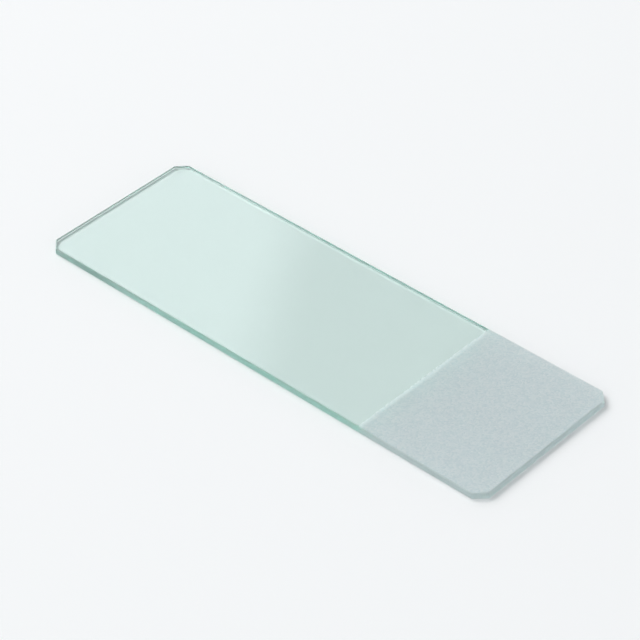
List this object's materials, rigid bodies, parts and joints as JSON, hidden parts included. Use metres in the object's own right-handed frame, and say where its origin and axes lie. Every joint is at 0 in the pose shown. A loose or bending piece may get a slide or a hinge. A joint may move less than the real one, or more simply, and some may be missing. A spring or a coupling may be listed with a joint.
{
  "type": "microscope slide",
  "caption": "Thin rectangular glass plate with ground edges and cut corners, frosted on both faces at one end, that carries a specimen under a microscope.",
  "frame": {"origin": "centre of the lower face's outline, on the surface that the slide lies on", "axes": "+X along the slide's length, towards the frosted end; +Y across its width; +Z out of the upper face"},
  "size_m": [0.076, 0.026, 0.001],
  "materials": {
    "float_glass": "clear soda-lime float glass with a faint blue-green tint: fire-polished faces, fine-ground satin edges and corners, and a matt white frosted area on both faces at one end"
  },
  "bodies": {
    "root": {"slide": "float_glass"}
  },
  "joints": []
}
